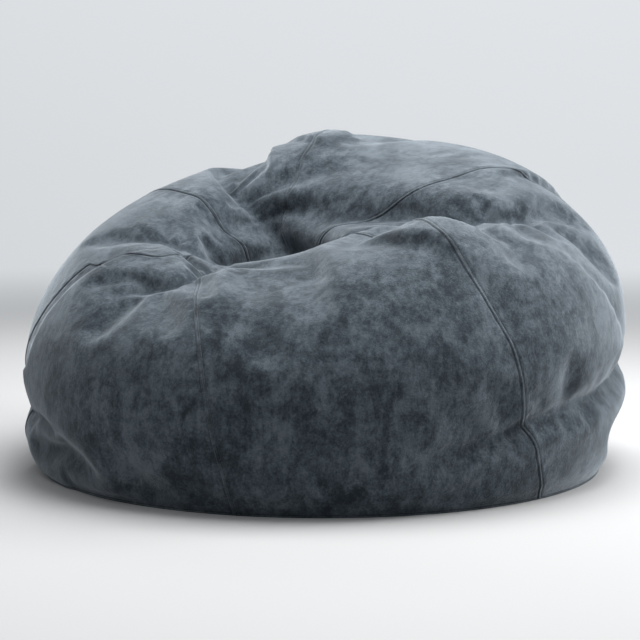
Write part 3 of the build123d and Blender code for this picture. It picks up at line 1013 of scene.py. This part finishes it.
def woven(name, dark, light, pitch):
    """Plain-woven cloth, of threads a pitch apart."""
    material, tree = new_material(name)
    parts = add_node(tree, "ShaderNodeSeparateXYZ", {"Vector": position(tree)}).outputs
    warp = wave(tree, maths(tree, "ADD", parts["X"], parts["Y"]), pitch)
    weft = wave(tree, maths(tree, "ADD", parts["Z"], parts["X"]), pitch)
    weave = maths(tree, "MULTIPLY_ADD", maths(tree, "MULTIPLY", warp, weft), 0.5, 0.5)
    slubs = noise_of(tree, 0.012, detail=5, rough=0.65, stretch=(1, 1, 0.3))
    colour = tinted(tree, ramp(tree, slubs, (0.35, dark), (0.65, light)), weave, 0.78, 1.12)
    normal = bumped(tree, weave, 0.00025, bumped(tree, slubs, 0.0006), strength=0.8)
    return finished(material, colour, 0.82, normal, Sheen_Weight=0.15)


def shredded_foam():
    """Torn foam crumbs of mixed pale colours."""
    material, tree = new_material("shredded_foam")
    inputs = {"Vector": position(tree), "Scale": 62.0, "Randomness": 1.0}
    cells = add_node(tree, "ShaderNodeTexVoronoi", inputs)
    tones = add_node(tree, "ShaderNodeSeparateColor", {"Color": cells.outputs["Color"]}).outputs["Red"]
    colours = ((0.2, (0.62, 0.55, 0.38)), (0.5, (0.70, 0.68, 0.60)), (0.8, (0.40, 0.48, 0.55)))
    colour = ramp(tree, tones, *colours)
    pores = noise_of(tree, 0.0018, detail=4, rough=0.7)
    colour = tinted(tree, colour, pores, 0.6, 1.15)
    normal = bumped(tree, pores, 0.0008, bumped(tree, cells.outputs["Distance"], -0.006))
    return finished(material, colour, 0.95, normal)


def zip_tape(name, seam, dark, light):
    """Herringbone-woven tape beside a zip in a seam."""
    material, tree = new_material(name)
    here = position(tree)
    across, down = (vector_maths(tree, "DOT_PRODUCT", here, tuple(axis)).outputs["Value"]
                    for axis in (np.cross(SEAT_AXIS, outward(seam)), SEAT_AXIS))
    slant = maths(tree, "PINGPONG", across, 0.0016)
    ribs = maths(tree, "MULTIPLY_ADD", wave(tree, maths(tree, "ADD", slant, down), 0.0009), 0.5, 0.5)
    fuzz = noise_of(tree, 0.004, detail=4, rough=0.7)
    colour = tinted(tree, ramp(tree, fuzz, (0.3, dark), (0.7, light)), ribs, 0.7, 1.2)
    normal = bumped(tree, ribs, 0.0002, bumped(tree, fuzz, 0.0002))
    return finished(material, colour, 0.85, normal, Sheen_Weight=0.2)


def nylon(name, dark, light):
    """The zip's coil: smooth nylon, with faint lint and rubbed highs."""
    material, tree = new_material(name)
    rub = noise_of(tree, 0.006, detail=4, rough=0.65)
    normal = bumped(tree, noise_of(tree, 0.0006, detail=2), 0.00005)
    colour = ramp(tree, rub, (0.3, dark), (0.7, light))
    return finished(material, colour, ranged(tree, rub, 0.25, 0.55), normal)


def gunmetal():
    """Plated zinc of the zip's slider, pull and stops, rubbed brighter in places and finely scratched."""
    material, tree = new_material("worn_gunmetal")
    wear = noise_of(tree, 0.0035, detail=6, rough=0.7, distortion=0.4)
    scratches = noise_of(tree, 0.0007, detail=3, rough=0.6, stretch=(6, 6, 0.7))
    colours = ((0.35, (0.10, 0.11, 0.12)), (0.55, (0.20, 0.21, 0.22)), (0.72, (0.48, 0.48, 0.47)))
    colour = ramp(tree, wear, *colours)
    normal = bumped(tree, scratches, 0.00004, bumped(tree, wear, 0.00008))
    return finished(material, colour, ranged(tree, scratches, 0.22, 0.48), normal, Metallic=1.0)


def label_satin():
    """Blank satin tape, with fine ribs across it."""
    material, tree = new_material("label_satin")
    inputs = {"Vector": position(tree), "Scale": 420.0, "Distortion": 0.6, "Detail": 2.0}
    ribs = add_node(tree, "ShaderNodeTexWave", inputs, bands_direction="Z").outputs["Fac"]
    soil = noise_of(tree, 0.012, detail=5, rough=0.6)
    colour = ramp(tree, soil, (0.3, (0.52, 0.53, 0.53)), (0.7, (0.66, 0.67, 0.67)))
    colour = tinted(tree, colour, ribs, 0.88, 1.05)
    normal = bumped(tree, ribs, 0.0001, bumped(tree, soil, 0.0004))
    return finished(material, colour, 0.5, normal, Sheen_Weight=0.3)


def make_materials():
    """The finishes, by the part of the chair that they are for."""
    return {
        "cover": suede(),
        "thread": thread("slate_thread", (0.014, 0.017, 0.021)),
        "liner": woven("liner_weave", (0.060, 0.064, 0.068), (0.105, 0.110, 0.116), 0.0012),
        "foam": shredded_foam(),
        "zip_tape": zip_tape("cover_tape_herringbone", ZIP_SEAM,
                             (0.020, 0.026, 0.032), (0.045, 0.055, 0.065)),
        "liner_tape": zip_tape("liner_tape_herringbone", LINER_ZIP_SEAM,
                               (0.055, 0.058, 0.062), (0.10, 0.105, 0.11)),
        "zip_coil": nylon("cover_coil_nylon", (0.012, 0.014, 0.017), (0.035, 0.040, 0.046)),
        "liner_coil": nylon("liner_coil_nylon", (0.040, 0.042, 0.045), (0.08, 0.084, 0.09)),
        "zip_metal": gunmetal(),
        "label": label_satin(),
    }


def repaint(materials):
    """Better materials for the CAD nodes that stay: the tapes, stops, sliders and pull."""
    for name, node in frame["nodes"].items():
        if "tape" in name:
            finish = "zip_tape" if name.startswith("cover") else "liner_tape"
        elif name.endswith(("stop", "stops", "slider", "pull")):
            finish = "zip_metal"
        else:
            continue
        for material_slot in node.material_slots:
            material_slot.material = materials[finish]


# ---- Camera, floor and light ----
CAMERA_AZIMUTH = radians(22.5)
CAMERA_RISE = radians(5.3)
CAMERA_DISTANCE = 4.0
CAMERA_TARGET = Vector((-0.009, -0.004, 0.359))
LENS = 87.75


def aim(thing, towards):
    """Turns a camera or light to look at a point."""
    thing.rotation_euler = (Vector(towards) - thing.location).to_track_quat("-Z", "Y").to_euler()


def make_camera():
    """The camera, at the photo's angle."""
    camera = bpy.data.objects.new("camera", bpy.data.cameras.new("camera"))
    bpy.context.collection.objects.link(camera)
    level = cos(CAMERA_RISE) * CAMERA_DISTANCE
    camera.location = CAMERA_TARGET + Vector(
        (sin(CAMERA_AZIMUTH) * level, -cos(CAMERA_AZIMUTH) * level, sin(CAMERA_RISE) * CAMERA_DISTANCE)
    )
    aim(camera, CAMERA_TARGET)
    camera.data.lens = LENS
    bpy.context.scene.camera = camera


def area_light(name, place, towards, width, height, power):
    """A soft rectangular light."""
    light = bpy.data.objects.new(name, bpy.data.lights.new(name, "AREA"))
    bpy.context.collection.objects.link(light)
    light.data.shape = "RECTANGLE"
    light.data.size, light.data.size_y = width, height
    light.data.energy = power
    light.location = place
    aim(light, towards)


NEAR_FLOOR, FAR_FLOOR = 2.2, 9.0  # distances between which the floor runs into the backdrop
FLOOR_HALF = 60  # width
FLOOR_GREY = (0.44, 0.44, 0.44)


def studio_colour(tree, direction):
    """The backdrop's colour by direction: brightest overhead and behind the object."""
    parts = add_node(tree, "ShaderNodeSeparateXYZ", {"Vector": direction}).outputs
    behind = maths(tree, "MULTIPLY_ADD", parts["Y"], 0.5, 0.5)
    above = maths(tree, "MAXIMUM", parts["Z"], 0.0)
    level = added(tree, (behind, 0.62), (above, 0.35))
    return ramp(tree, level, (0.0, (0.14, 0.145, 0.15)), (1.0, (1.08, 1.12, 1.16)))


def make_sky():
    """A soft studio dome."""
    world = bpy.data.worlds.new("studio")
    world.use_nodes = True
    tree = world.node_tree
    direction = add_node(tree, "ShaderNodeTexCoord").outputs["Generated"]
    tree.links.new(studio_colour(tree, direction), tree.nodes["Background"].inputs["Color"])
    bpy.context.scene.world = world


def make_floor():
    """A plain pale floor, which takes on the backdrop's colour further out, so that no horizon shows: there
    its own colour fades to black and it glows with the backdrop's colour, a painted glow.
    """
    corners = [(-1, -1, 0), (1, -1, 0), (1, 1, 0), (-1, 1, 0)]
    floor = mesh_object("floor", np.array(corners) * FLOOR_HALF, [(0, 1, 2, 3)])
    material, tree = new_material("floor")
    here = position(tree)
    distance = vector_maths(tree, "LENGTH", here).outputs["Value"]
    direction = vector_maths(tree, "NORMALIZE", here).outputs["Vector"]
    inputs = {"Value": distance, "From Min": NEAR_FLOOR, "From Max": FAR_FLOOR}
    # 0 near the bag and 1 far out: it darkens the floor's own colour and turns up its painted glow of the
    #                               backdrop's colour
    far = add_node(tree, "ShaderNodeMapRange", inputs, interpolation_type="SMOOTHSTEP").outputs["Result"]
    finished(material, tinted(tree, FLOOR_GREY, far, 1.0, 0.0), 0.9, None, Specular_IOR_Level=0.0,
             Emission_Color=studio_colour(tree, direction), Emission_Strength=far)
    floor.data.materials.append(material)


def make_lights():
    """Soft studio light from above, the right and behind."""
    area_light("overhead", (0.5, 0.1, 3.4), (0, 0, 0.4), 2.2, 2.2, 165)
    area_light("right_side", (2.9, 1.3, 1.9), (0, 0, 0.4), 1.4, 2.0, 105)
    area_light("left_behind", (-1.9, 2.4, 2.6), (0, 0, 0.5), 1.4, 1.4, 38)


make_camera()
make_sky()
make_floor()
make_lights()
bpy.context.scene.view_settings.view_transform = "Standard"


# ---- Making everything ----
materials = make_materials()
for bag in (COVER, LINER):
    fabric = materials[bag.name]
    for index in range(len(GORES)):
        make_panel(bag, index, fabric)
    make_cap(bag, fabric)
    make_base(bag, fabric)
for index in range(len(GORES)):
    make_seam_stitches(index, materials["thread"])
make_ring_stitches(materials["thread"])
make_filling(materials["foam"])
for word, side in (("left", -1), ("right", 1)):
    for coil in COILS:
        make_coil(coil, word, side, materials[coil.slot])
make_label(materials["label"])
repaint(materials)
